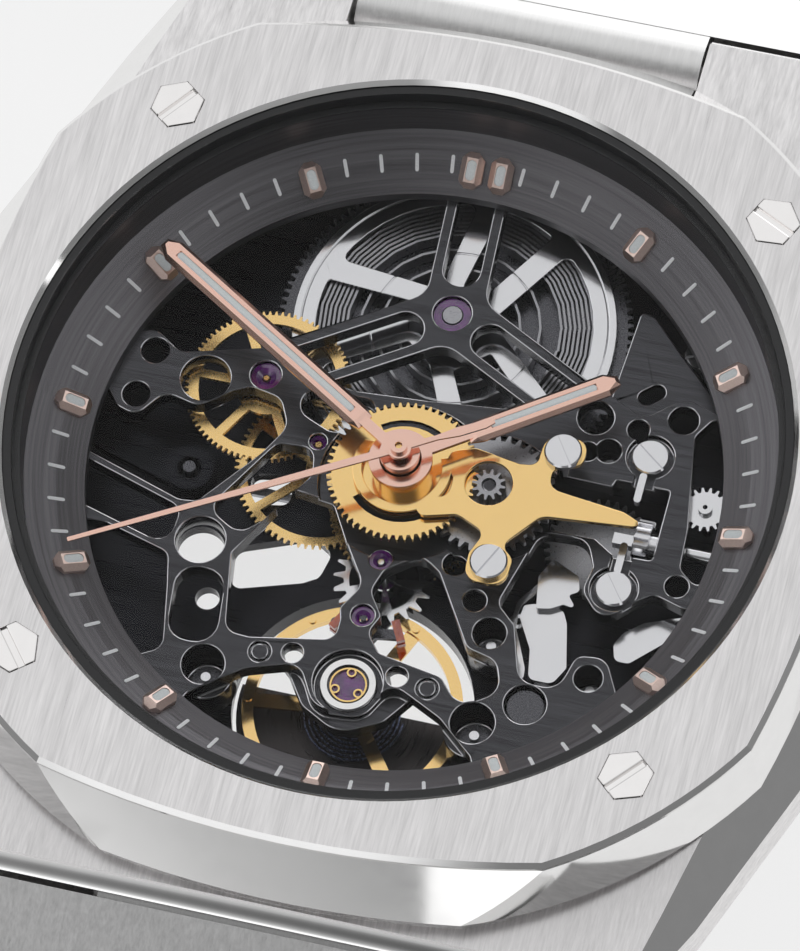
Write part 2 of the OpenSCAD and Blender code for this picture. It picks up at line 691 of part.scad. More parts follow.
// Three-armed open bridge that carries the barrel's upper pivot
module barrel_bridge() {
    color(black) difference() {
        intersection() {
            bridge_arms();
            barrel_opening();
            disc(15.5, plate_z - 1, 3);
        }
        disc(0.8, 5.6, 1, barrel_xy);
        disc(0.42, 5, 2, barrel_xy);
    }
}

// Three-armed outline with filleted throats, and a round-ended slot down each arm
module bridge_arms() {
    arm_w = 2.45;
    slot_w = 1.55;
    reach = 9;
    throat = arm_w / 2 / sin(60);
    outline = [for (k = [0:2]) let (a = 93 + 120 * k, side = [-sin(a), cos(a)] * arm_w / 2)
        each [polar(reach, a) - side, polar(reach, a) + side, concat(polar(throat, a + 60), [1.1])]];
    translate([barrel_xy[0], barrel_xy[1], 0]) difference() {
        slab(outline, plate_z, plate_t);
        for (k = [0:2]) bar(polar(2.05, 93 + 120 * k), polar(reach + 2, 93 + 120 * k), slot_w,
              plate_z - e, 2);
    }
}

// Deck on the back side that carries the train
module train_bridge() {
    z = deck_z - e;
    h = deck_t + 2 * e;
    color(black) difference() {
        union() {
            disc(15.5, deck_z, deck_t);
            disc(1.6, 1.95, 0.5);
            // Bosses seen through the left opening
            disc(1, deck_z, 1.9, [-9.1, -0.5]);
                bar([-9.1, -0.5], [-12.9, 0.6], 1.4, deck_z, 1.1);
            // Raised band round the balance
            difference() {
                ring(6, 4.95, deck_z + deck_t - e, 0.4, balance_xy);
                translate([-1.3, -12, 0]) cube([2.6, 9, 9]);
                translate([-9, -20, 0]) cube([18, 12, 9]);
            }
            // Post of the setting wheel
            disc(0.24, deck_z, 4.55 - deck_z, setting_xy);
            disc(0.08, deck_z, 5.3 - deck_z, setting_xy);
        }
        slab([[-6.3, -4.9, 0.4], [-6.6, -3, 0.5], [-3.6, -1.8, 0.6], [-2.6, -2.4, 0.5], [-2.9, -3.8,
              0.8]], z, h);
        slab([[-6.8, 0.4, 0.4], [-5, 0.7, 0.4], [-4.9, -0.7, 0.4], [-6.5, -1, 0.4]], z, h);
        disc(1, 0, 5, [-7.95, -3.4]);
        disc(0.5, 0, 5, [-7.1, -5.5]);
        disc(0.5, 3.2, 5, [-9.1, -0.5]);
        disc(0.25, 0, 5, [-9.1, -0.5]);
        disc(4.95, z, h, balance_xy);
        // Cut that lets the balance cock in
        translate([-1.7, -16, z]) cube([3.4, 4, h]);
        disc(0.62, 0, 5, barrel_xy);
        for (p = [second_xy, third_xy, [0, 0], escape_xy]) disc(0.16, 0, 5, p);
        disc(0.34, 0, 5, crown_wheel_xy);
    }
}

module balance_cock() {
    z = 2.02;
    h = 0.52;
    color(black) difference() {
        union() {
            intersection() {
                disc(4.8, z, h, balance_xy);
                translate([-6, -14.6, z]) cube([12, 5.9, h]);
            }
            disc(1.5, z, h, balance_xy);
            translate([-1.6, -15.4, z]) cube([3.2, 1.3, 0.98]);
        }
        disc(0.16, 0, 5, balance_xy);
        disc(0.6, 1.7, 0.55, balance_xy);
        for (s = [-1, 1]) disc(0.55, 1.7, 2, [s * 2.9, -12]);
    }
}

// Small bridge under the pallet fork and escape wheel, hung from the main plate on one post
module pallet_bridge() {
    z = 3.6;
    post = [1.9, -1.9];
    color(black) difference() {
        union() {
            bar(fork_xy, post, 0.7, z, 0.16);
            bar(escape_xy, post, 0.7, z, 0.16);
            disc(0.31, z, plate_z - z, post);
        }
        disc(0.14, z - 1, 3, fork_xy);
        disc(0.16, z - 1, 3, escape_xy);
    }
}

// Ring, cap jewel seat and lyre spring of the shock protection
module shock_setting() {
    z = 5.15;
    color(gold) {
        ring(1.12, 0.86, z, 0.6, balance_xy);
        ring(0.86, 0.2, z + 0.05, 0.2, balance_xy);
        // Lyre spring with three loops turned inwards
        ring(0.76, 0.69, z + 0.42, 0.1, balance_xy);
        for (k = [0:2]) ring(0.2, 0.13, z + 0.42, 0.1, balance_xy + polar(0.56, 90 + 120 * k));
    }
}

module jewels() {
    color(ruby) {
        for (j = jewel_holes)
            difference() {
                disc(j[1] - 0.02, 5.4, 0.4, j[0]);
                disc(0.17, 5, 1, j[0]);
                translate([j[0][0], j[0][1], 5.62]) cylinder(h = 0.2, r1 = 0.15, r2 = j[1] * 0.7);
            }
        disc(0.68, 5.4, 0.14, balance_xy);
        disc(0.46, 5.53, 0.03, balance_xy);
        ring(0.77, 0.45, 5.62, 0.18, barrel_xy);
        ring(0.58, 0.12, 1.97, 0.2, balance_xy);
    }
}

// Gilt plate that holds the motion work down
module motion_cover() {
    z = cover_z;
    t = 0.22;
    lean = [0.24, -0.7];
    outline = [[9.75, 0.4, 0.25], [9, 0.72, 1], [6.7, 0.98, 0.5], [5.8, 1.1, 0.6], [5.75, 2, 0.4],
               [6.9, 2.35, 0.5], [6.9, 3.5, 0.8], [5.1, 3.5, 0.8], [5.1, 2, 0.5], [4.4, 1.9, 0.4],
               [2.5, 2.2, 0.5], [1.2, 1.75, 0.6],
               [1.9, 0.7, 0.4], [1.9, -0.2, 0.5], [0.6, -0.4, 0.6], [0.9, -1.3, 0.4], [2.5, -0.85, 0.6],
               [3.75, -1.4, 0.4], [3.35, -2.4, 0.5], [3.4, -3.6, 0.8], [5.1, -3.6, 0.8], [5.15, -2.3, 0.4],
               [4.55, -1.8, 0.4], [5.8, -0.2, 0.8], [8, 0, 1], [9.6, 0.15, 0.25]];
    color(gold) difference() {
        union() {
            translate([lean[0], lean[1], 0]) slab(outline, z, t);
            // Collar that keeps clear of the hour tube
            difference() {
                disc(2.02, z, t);
                translate([0.4, 0.35, z - 1]) rotate(20) cube([5, 5, 5]);
                translate([-5, 0.9, z - 1]) cube([10, 5, 5]);
            }
        }
        disc(1.62, z - 1, 4);
        disc(0.98, z - 1, 4, minute_xy);
        for (p = cover_screws) disc(0.27, z - 1, 4, p);
    }
}

// Slotted round head on a shank; the slot runs along angle a
module slot_screw(at, head_r, z, head_h, shank_r, shank_to, a) {
    difference() {
        union() {
            disc(head_r, z, head_h - 0.06, at);
            translate([at[0], at[1], z + head_h - 0.06])
                cylinder(h = 0.06, r1 = head_r, r2 = head_r - 0.06);
            disc(shank_r, shank_to, z - shank_to + e, at);
        }
        translate([at[0], at[1], z + head_h - 0.12]) rotate(a)
            translate([-2, -0.06, 0]) cube([4, 0.12, 1]);
    }
}

module plate_screws() {
    color(steel) {
        slot_screw(cover_screws[0], 0.77, cover_z + 0.22, 0.3, 0.25, plate_z + 0.1, 125);
        slot_screw(cover_screws[1], 0.77, cover_z + 0.22, 0.3, 0.25, plate_z + 0.1, 65);
        // Spacers that carry the cover
        for (p = cover_screws) ring(0.36, 0.27, plate_top, cover_z - plate_top, p);
        slot_screw([9.5, 3.3], 0.77, 5.67, 0.4, 0.35, 5.65, 143);
        slot_screw([9.45, -2.75], 0.77, 5.67, 0.4, 0.35, 5.65, 127);
        for (p = pin_holes) {
            disc(0.2, 3.95, 0.8, p);
            ring(p[2] * 0.66, 0.2, 3.95, 0.5, p);
        }
        // Case screw at the edge of the lower step
        slot_screw([10.3, 8.6], 0.66, 4.9, 0.35, 0.3, deck_z + deck_t, 20);
        disc(0.74, 5.5, 0.2, [7.2, -8.5]);
        disc(0.26, 3.2, 1.2, [-9.1, -0.5]);
    }
}

// ---------- barrel and train ----------

module barrel_drum() {
    m = barrel_m;
    color(steel) {
        ring(6.7, 6.45, 3.6, 0.95, barrel_xy);
        ring(6.7, 0.75, 3.6, 0.12, barrel_xy);
        difference() {
            gear(barrel_teeth, m, tooth_to(barrel_xy, second_xy), 3.9, 0.35, barrel_xy);
            disc(6.6, 3, 3, barrel_xy);
        }
    }
}

// Polished cover with kidney openings that show the coils
// Where the cover's spokes leave its hub and where they meet its rim, as angles
cover_spokes = [[-165, -155], [-92, -73], [-10, -33], [47, 54], [108, 89], [140, 164], [195, 205]];

module barrel_cover() {
    z = 4.56;
    color(steel) translate([barrel_xy[0], barrel_xy[1], 0]) difference() {
        disc(6.72, z, 0.12);
        disc(0.93, 4, 2);
        ring(3.5, 3.42, z + 0.07, 1);
        ring(6.4, 6.34, z + 0.07, 1);
        for (k = [0:len(cover_spokes) - 2]) barrel_window(cover_spokes[k], cover_spokes[k + 1], z - 1);
    }
}

// Opening between two spokes, each given as its angle at the hub and at the rim
module barrel_window(a, b, z) {
    r_in = 1.95;
    r_out = 5.75;
    half = 0.52;
    in_gap = asin(half / r_in);
    out_gap = asin(half / r_out);
    from = a[1] + out_gap;
    to = b[1] - out_gap;
    slab(concat(
        [for (i = [0:8]) concat(polar(r_out, from + (to - from) * i / 8), [i == 0 || i == 8 ? 0.6 : 0])],
        [concat(polar(r_in, b[0] - in_gap), [0.1]), concat(polar(r_in, a[0] + in_gap), [0.1])]), z, 3);
}

// Flat spiral, drawn as one band whose centre line grows evenly with angle
function spiral(r0, r1, turns, w, steps) =
    let (n = turns * steps)
    concat([for (i = [0:n]) polar(r0 + (r1 - r0) * i / n + w / 2, 360 * i / steps)],
           [for (i = [n:-1:0]) polar(r0 + (r1 - r0) * i / n - w / 2, 360 * i / steps)]);

module mainspring() {
    color([0.6, 0.6, 0.62]) translate([barrel_xy[0], barrel_xy[1], 3.78]) {
        linear_extrude(0.68) polygon(spiral(4.4, 6.3, 10, 0.1, 26));
        linear_extrude(0.68) polygon(spiral(1, 4.35, 4, 0.1, 26));
    }
}

module ratchet_wheel() {
    color(steel) {
        gear(ratchet_teeth, ratchet_m, tooth_to(barrel_xy, crown_wheel_xy), 2.08, 0.26, barrel_xy);
        disc(0.58, 2.2, 2.95, barrel_xy);
        disc(0.91, 3.76, 0.72, barrel_xy);
        disc(0.4, 5.1, 0.75, barrel_xy);
    }
}

// A wheel with a rim, a hub and straight spokes; the rim is measured in from the pitch circle
module wheel(at, teeth, m, phase, z, h, spokes, rim, hub, start = 0) {
    r = m * teeth / 2 - rim;
    spoke_w = 0.38;
    difference() {
        gear(teeth, m, phase, z, h, at);
        ring(r, hub, z - 1, h + 2, at);
    }
    for (k = [0:spokes - 1]) translate([at[0], at[1], z]) rotate(start + 360 / spokes * k)
        translate([hub - 0.1, -spoke_w / 2, 0]) cube([r - hub + 0.2, spoke_w, h]);
}

module second_wheel() {
    color(gold) {
        wheel(second_xy, second_teeth, second_m, tooth_to(second_xy, third_xy),
              4.78, 0.18, 6, 0.5, 1.3, 0);
        gear(second_pinion_teeth, barrel_m, gap_to(second_xy, barrel_xy, second_pinion_teeth),
             3.82, 0.97, second_xy);
        disc(0.11, 2.7, 3, second_xy);
    }
}

module third_wheel() {
    color(gold) {
        wheel(third_xy, third_teeth, third_m, tooth_to(third_xy, [0, 0]), 3.32, 0.14, 5, 0.42, 0.7, 10);
        gear(third_pinion_teeth, second_m, gap_to(third_xy, second_xy, third_pinion_teeth),
             4.72, 0.3, third_xy);
        disc(0.2, 3.4, 1.4, third_xy);
        disc(0.13, 2.7, 3, third_xy);
    }
}

module fourth_wheel() {
    color(gold) {
        wheel([0, 0], fourth_teeth, fourth_m, tooth_to([0, 0], escape_xy), 3.08, 0.14, 4, 0.42, 0.75, 20);
        gear(fourth_pinion_teeth, third_m, gap_to([0, 0], third_xy, fourth_pinion_teeth), 3.2, 0.33, [0, 0]);
        disc(0.13, 2.6, 6.7);
    }
}

module escape_wheel() {
    teeth = 20;
    color(steel) translate([escape_xy[0], escape_xy[1], 0]) {
        translate([0, 0, 3.9]) difference() {
            linear_extrude(0.14) polygon([for (i = [0:teeth - 1]) let (a = 360 / teeth * i) each
                [polar(1.62, a), polar(2.05, a + 5), polar(2.08, a + 8), polar(1.66, a + 11)]]);
            windows(5, 0.5, 1.42, 20, -1, 3, [0, 0]);
        }
        disc(0.13, 2.7, 3);
    }
    color(steel)
        gear(escape_pinion_teeth, fourth_m, gap_to(escape_xy, [0, 0], escape_pinion_teeth),
             3.02, 0.26, escape_xy);
}

// Each stone points at the escape wheel, this far either side of the lever
stone_angle = 28;

module stone(z, h) {
    for (s = [-1, 1])
        translate([escape_xy[0], escape_xy[1], z]) rotate(-90 + s * stone_angle)
            translate([2.14, -0.17, 0]) cube([0.95, 0.34, h]);
}

module pallet_fork() {
    z = 4.12;
    h = 0.18;
    color(steel) translate([fork_xy[0], fork_xy[1], 0]) {
        for (s = [-1, 1]) {
            bar([0, 0], [s * 1.3, 0.2], 0.44, z, h);
            bar([0, -1.62], [s * 0.24, -2.05], 0.16, z, h);
        }
        disc(0.45, z, h);
        bar([0, 0], [0, -1.62], 0.26, z, h);
        disc(0.12, 3.62, 2.08);
    }
}

module pallet_stones() {
    color([0.75, 0.2, 0.1]) {
        stone(3.88, 0.24);
        // Their tops, which stand above the arms
        stone(4.3, 0.22);
    }
}

module balance_wheel() {
    color(gold) translate([balance_xy[0], balance_xy[1], 0]) {
        ring(4.5, 4.02, 3.1, 0.36);
        difference() {
            union() {
                disc(0.75, 3.18, 0.16);
                for (k = [0:2]) rotate(120 * k - 53) translate([0.3, -0.3, 3.18]) cube([3.9, 0.6, 0.16]);
            }
            disc(0.2, 3, 1);
        }
        // Timing screws set into the rim
        for (k = [0:5]) rotate(7 + 60 * k) translate([4.26, 0, 3.4]) cylinder(h = 0.14, r = 0.16);
    }
}

module balance_staff() {
    color(steel) translate([balance_xy[0], balance_xy[1], 0]) {
        disc(0.19, 2.62, 2.4);
        disc(0.1, 1.98, 3.4);
        // Roller with its impulse pin
        disc(0.66, 3.55, 0.2);
        disc(0.08, 3.7, 0.55, [0, 0.55]);
    }
}

module hairspring() {
    color([0.35, 0.4, 0.6]) translate([balance_xy[0], balance_xy[1], 2.72])
        linear_extrude(0.16) polygon(spiral(0.42, 2.1, 9, 0.05, 24));
    color([0.35, 0.4, 0.6]) ring(0.45, 0.2, 2.68, 0.24, balance_xy);
}

// ---------- motion work and hands ----------

module hour_wheel() {
    color(gold) {
        difference() {
            gear(hour_teeth, hour_m, gap_to([0, 0], minute_xy, hour_teeth), 6.8, 0.26);
            for (k = [0:1]) rotate(180 * k + 85)
                translate([0, 0, 6]) linear_extrude(2) polygon(sector(2.02, 2.3, -42, 42));
            disc(0.9, 6, 3);
        }
        ring(1.2, 0.86, 6.8, 1.25);
    }
}

module minute_wheel() {
    color([0.55, 0.55, 0.57]) {
        difference() {
            union() {
                gear(minute_teeth, minute_m, gap_to(minute_xy, [0, 0], minute_teeth), 6.2, 0.3, minute_xy);
                gear(minute_pinion_teeth, hour_m, tooth_to(minute_xy, [0, 0]), 6.45, 0.85, minute_xy);
            }
            disc(0.3, 6, 2, minute_xy);
        }
    }
}

module cannon_pinion() {
    color(rose) difference() {
        union() {
            gear(cannon_teeth, minute_m, tooth_to([0, 0], minute_xy), 6.15, 0.4);
            disc(0.8, 6.5, 2.1);
            disc(1.15, 5.8, 0.36);
        }
        disc(0.3, 5, 6);
    }
}

// A pointed baton with bevelled flanks; it lies along +X from the hub
module baton(length, w, z, t, neck) {
    tip = w * 0.55;
    bevel = 0.16;
    hull() {
        linear_slab([[neck, -w / 2 + 0.12], [neck + 0.5, -w / 2], [length - tip, -w / 2], [length, -w * 0.2],
                     [length, w * 0.2], [length - tip, w / 2], [neck + 0.5, w / 2], [neck, w / 2 - 0.12]],
                    z, t - bevel);
        linear_slab([[neck + 0.3, -w / 2 + bevel], [length - tip, -w / 2 + bevel], [length - bevel, -0.08],
                     [length - bevel, 0.08], [length - tip, w / 2 - bevel], [neck + 0.3,
                           w / 2 - bevel]], z, t);
    }
}

module linear_slab(pts, z, h) {
    translate([0, 0, z]) linear_extrude(h) polygon(pts);
}

module hour_hand() {
    color(rose) rotate(90 - hour_angle) difference() {
        union() {
            baton(9.45, 1, 8.05, 0.27, 2.9);
            translate([0, -0.24, 8.05]) cube([3.2, 0.48, 0.2]);
            disc(1.3, 8.05, 0.22);
        }
        disc(0.86, 7, 3);
        translate([3.9, -0.15, 8.22]) cube([4.6, 0.3, 1]);
    }
}

module minute_hand() {
    color(rose) rotate(90 - minute_angle) difference() {
        union() {
            baton(13.85, 1, 8.6, 0.28, 2);
            translate([0, -0.22, 8.6]) cube([2.2, 0.44, 0.2]);
            disc(0.82, 8.6, 0.22);
        }
        disc(0.3, 7, 3);
        translate([2.7, -0.15, 8.78]) cube([10.3, 0.3, 1]);
    }
}

module seconds_hand() {
    color(rose) rotate(90 - seconds_angle) {
        difference() {
            union() {
                slab([[0, -0.17], [13.85, -0.09], [13.85, 0.09], [0, 0.17]], 9.1, 0.1);
                // Counterweight lance
                slab([[-4.02, -0.06], [-3.6, -0.17, 0.1], [-2.5, -0.2, 0.1], [-1.6, -0.1, 0.2], [0, -0.14],
                      [0, 0.14], [-1.6, 0.1, 0.2], [-2.5, 0.2, 0.1], [-3.6, 0.17, 0.1], [-4.02, 0.06]],
                            9.1, 0.1);
                disc(0.5, 9.1, 0.16);
                disc(0.34, 9.1, 0.36);
            }
            disc(0.15, 9, 1);
        }
    }
}

// ---------- rotor ----------

module rotor() {
    r_out = 13.3;
    color([0.3, 0.3, 0.31]) difference() {
        union() {
            // Skeleton web and heavy rim over the twelve o'clock half
            difference() {
                half_disc(r_out, 1.6, 0.25);
                windows(8, 3.4, 10.6, 7, 1, 2, [0, 0], 0);
            }
            difference() {
                half_disc(r_out, 1.3, 0.58);
                disc(11, 1, 2);
            }
            disc(2.6, 1.45, 0.4);
        }
        disc(1.3, 0, 4);
    }
}

module half_disc(r, z, h) {
    intersection() {
        disc(r, z, h);
        translate([-20, 0, 0]) cube([40, 40, 5]);
    }
}

module rotor_bearing() {
    balls = 7;
    color(steel) {
        ring(1.28, 1.01, 1.45, 0.4);
        for (k = [0:balls - 1]) rotate(360 / balls * k) translate([0.86, 0, 1.65]) sphere(r = 0.14,
              $fn = 20);
        disc(0.71, 1.45, 0.5);
    }
}

// ---------- bracelet ----------

// Side view of a link: convex at the far pin, hollow round the near one
module link_side(half_w, length) {
    difference() {
        union() {
            translate([-half_w, 0, -knuckle_r]) cube([2 * half_w, length, link_t]);
            x_bore(length, 0, knuckle_r, -half_w, half_w);
        }
        x_bore(0, 0, knuckle_r + joint_gap, -half_w - 1, half_w + 1);
    }
}

// One H-shaped link. Its near pin lies on the X axis and it runs along +Y.
module link(i, length, tongue_r) {
    w = link_w(i);
    tongue = tongue_w(i);
    next_tongue = (i < link_count - 1 ? tongue_w(i + 1) : 6.2) + joint_gap;
    bevel = 0.42;
    reach = length + 8;
    difference() {
        intersection() {
            union() {
                link_side(w, length);
                // Tongue that turns on the near pin
                x_bore(0, 0, tongue_r, -tongue, tongue);
                translate([-tongue, 0, -tongue_r]) cube([2 * tongue, min(3.2, length), 2 * tongue_r]);
            }
            // Plan with bevelled long edges
            translate([0, length + 4, 0]) rotate([90, 0, 0]) linear_extrude(reach)
                polygon([[-w, -1.2], [-w + 0.4, -knuckle_r], [w - 0.4, -knuckle_r], [w, -1.2],
                         [w, knuckle_r - bevel], [w - bevel, knuckle_r], [bevel - w, knuckle_r],
                         [-w, knuckle_r - bevel]]);
        }
        // Slot for the next tongue
        x_bore(length, 0, knuckle_r + joint_gap, -next_tongue, next_tongue);
        translate([-next_tongue, length, -3]) cube([2 * next_tongue, 4, 6]);
        x_bore(0, 0, pin_r + 0.04, -tongue - 1, tongue + 1);
        x_bore(length, 0, pin_r + 0.01, -w + 1.2, w - 1.2);
    }
    // Pin that the next piece turns on, held by the two arms
    x_bore(length, 0, pin_r, -w + 1.22, w - 1.22);
}

// Puts link i of a side at its place on the case or behind the link before it
module placed_link(i, start, lens, tilts, side) {
    at = pin_at(start, lens, tilts, i);
    tongue_r = i == 0 && side < 0 ? 1.1 : knuckle_r - 0.02;
    color(steel) mirror([0, side < 0 ? 1 : 0, 0])
        translate([0, at[0], at[1]]) rotate([-tilts[i], 0, 0]) link(i, lens[i], tongue_r);
    // The case pin belongs to the first link
    if (i == 0) color(steel) x_bore(side * start[0], start[1], pin_r, -11.9, 11.9);
}

module upper_link(i) {
    placed_link(i, upper_pin, upper_lens, upper_tilts, 1);
}

module lower_link(i) {
    placed_link(i, lower_pin, lower_lens, lower_tilts, -1);
}

// Thin folding blade from near pin to far pin
module blade(near_w, length, w, far_w) {
    r = leaf_t / 2;
    difference() {
        union() {
            x_bore(0, 0, r, -near_w, near_w);
            translate([-near_w, 0, -r]) cube([2 * near_w, 2.2, leaf_t]);
            translate([-w, 2.0, -r]) cube([2 * w, length - 3.2, leaf_t]);
            for (s = [-1, 1]) translate([s > 0 ? far_w + 0.15 : -w, length - 1.3, -r])
                cube([w - far_w - 0.15, 1.3, leaf_t]);
            for (s = [-1, 1])
                x_bore(length, 0, r, s > 0 ? far_w + 0.15 : -w, s > 0 ? w : -far_w - 0.15);
        }
        x_bore(0, 0, pin_r + 0.04, -near_w - 1, near_w + 1);
        // Lightening slot
        slab([[-w * 0.45, 4.2, 1], [w * 0.45, 4.2, 1], [w * 0.45, length - 3.4, 1], [-w * 0.45,
              length - 3.4, 1]],
             -3, 6);
        x_bore(length, 0, pin_r + 0.01, -w + 0.5, w - 0.5);
    }
    x_bore(length, 0, pin_r, -w + 0.52, w - 0.52);
}

upper_end = pin_at(upper_pin, upper_lens, upper_tilts, link_count)[0];
lower_end = pin_at(lower_pin, lower_lens, lower_tilts, link_count)[0];

module clasp_leaf_upper() {
    color(steel) translate([0, upper_end, leaf_t / 2]) blade_raised(6.2, leaf_len, 8.6, 5.8);
}

// The link's pin is higher than the blade's own middle, so the blade hangs from a raised knuckle
module blade_raised(near_w, length, w, far_w) {
    rise = knuckle_r - leaf_t / 2;
    difference() {
        union() {
            x_bore(0, rise, 1.1, -near_w, near_w);
            translate([-near_w, 0, -leaf_t / 2]) cube([2 * near_w, 2.2, rise + 0.8]);
            difference() {
                blade(near_w, length, w, far_w);
                translate([-20, -3, -3]) cube([40, 4.9, 6]);
            }
        }
        x_bore(0, rise, pin_r + 0.04, -near_w - 1, near_w + 1);
    }
}

module clasp_centre() {
    r = leaf_t / 2;
    w = 8.6;
    tongue = 5.65;
    color(steel) translate([0, upper_end + leaf_len, r]) difference() {
        union() {
            x_bore(0, 0, r, -tongue, tongue);
            x_bore(centre_len, 0, r, -tongue, tongue);
            translate([-tongue, 0, -r]) cube([2 * tongue, centre_len, leaf_t]);
            translate([-w, r + 0.2, -r]) cube([2 * w, centre_len - 2 * r - 0.4, leaf_t]);
        }
        x_bore(0, 0, pin_r + 0.04, -w, w);
        x_bore(centre_len, 0, pin_r + 0.04, -w, w);
        slab([[-4, 6, 1.5], [4, 6, 1.5], [4, centre_len - 6, 1.5], [-4, centre_len - 6, 1.5]], -3, 6);
    }
}

module clasp_leaf_lower() {
    color(steel) mirror([0, 1, 0]) translate([0, lower_end, leaf_t / 2]) blade_raised(6.2, leaf_len,
          8.6, 5.8);
}

case_middle();
bezel();
bezel_screws();
crystal();
gaskets();
chapter_ring();
hour_markers();
case_back();
case_back_crystal();
movement_holder();
crown_tube();
crown();
winding_stem();
clutch_wheel();
main_plate();
barrel_bridge();
train_bridge();
balance_cock();
pallet_bridge();
shock_setting();
jewels();
motion_cover();
plate_screws();
keyless_levers();
setting_wheel();
crown_wheel();
ratchet_wheel();
barrel_drum();
barrel_cover();
mainspring();
second_wheel();
third_wheel();
fourth_wheel();
escape_wheel();
pallet_fork();
pallet_stones();
balance_wheel();
balance_staff();
hairspring();
hour_wheel();
minute_wheel();
cannon_pinion();
rotor();
rotor_bearing();
hour_hand();
minute_hand();
seconds_hand();
upper_link(0);  // upper_link_1
upper_link(1);  // upper_link_2
upper_link(2);  // upper_link_3
upper_link(3);  // upper_link_4
upper_link(4);  // upper_link_5
lower_link(0);  // lower_link_1
lower_link(1);  // lower_link_2
lower_link(2);  // lower_link_3
lower_link(3);  // lower_link_4
lower_link(4);  // lower_link_5
clasp_leaf_upper();
clasp_centre();
clasp_leaf_lower();
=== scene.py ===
"""Looks of the skeleton wristwatch: materials, small trim, studio and camera."""

import math

import bmesh
import bpy
from mathutils import Matrix, Vector


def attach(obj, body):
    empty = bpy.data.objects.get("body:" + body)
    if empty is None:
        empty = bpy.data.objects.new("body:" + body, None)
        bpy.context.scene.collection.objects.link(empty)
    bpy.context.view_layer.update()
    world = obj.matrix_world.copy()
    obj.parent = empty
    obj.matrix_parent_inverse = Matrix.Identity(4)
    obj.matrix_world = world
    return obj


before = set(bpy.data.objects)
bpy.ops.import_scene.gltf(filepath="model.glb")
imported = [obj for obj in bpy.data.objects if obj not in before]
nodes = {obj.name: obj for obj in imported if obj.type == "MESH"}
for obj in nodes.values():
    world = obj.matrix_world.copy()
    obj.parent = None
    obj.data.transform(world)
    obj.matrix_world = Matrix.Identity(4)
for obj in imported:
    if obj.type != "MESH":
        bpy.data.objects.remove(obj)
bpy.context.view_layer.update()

MM = 0.001
STEEL = (0.78, 0.775, 0.77)
BLACK_PLATE = (0.062, 0.062, 0.068)
GILT = (0.93, 0.64, 0.27)
ROSE = (0.86, 0.56, 0.46)
LUME = (0.74, 0.78, 0.79)
TURNED_PER_MM = 9.0
TURNED_PER_RADIAN = 1.6

# Places on the watch, in millimetres; dial angles are clockwise from twelve o'clock, in degrees
BALANCE_AT = (0, -9.1)
FLUSH_DISC_AT = (7.2, -8.5)
SETTING_RIM_R = 0.84
SETTING_HOLE_R = 0.2
SETTING_RECESS_Z = 5.5
LOW_SCREWS_Z = (3.9, 4.6)
TICK_R, TICK_Z, TICK_TILT = 14.1, 7.2, 28
TICK_SIZE = (0.78, 0.15, 0.02)
MARKER_R, MARKER_Z, MARKER_LIFT = 13.95, 7.06, 0.36
MARKER_TILT = math.degrees(math.atan(0.7 / 1.1)) * 0.75
MARKER_SIZE = (0.85, 0.39, 0.085)
TWIN_MARKER_SHIFT = 0.62
HOUR_HAND_DEG = 55.3
MINUTE_HAND_DEG = 301.3
HAND_FILLING_WIDTH, HAND_FILLING_HEIGHT, HAND_FILLING_GAP = 0.29, 0.1, 0.02


# ---------- node helpers ----------

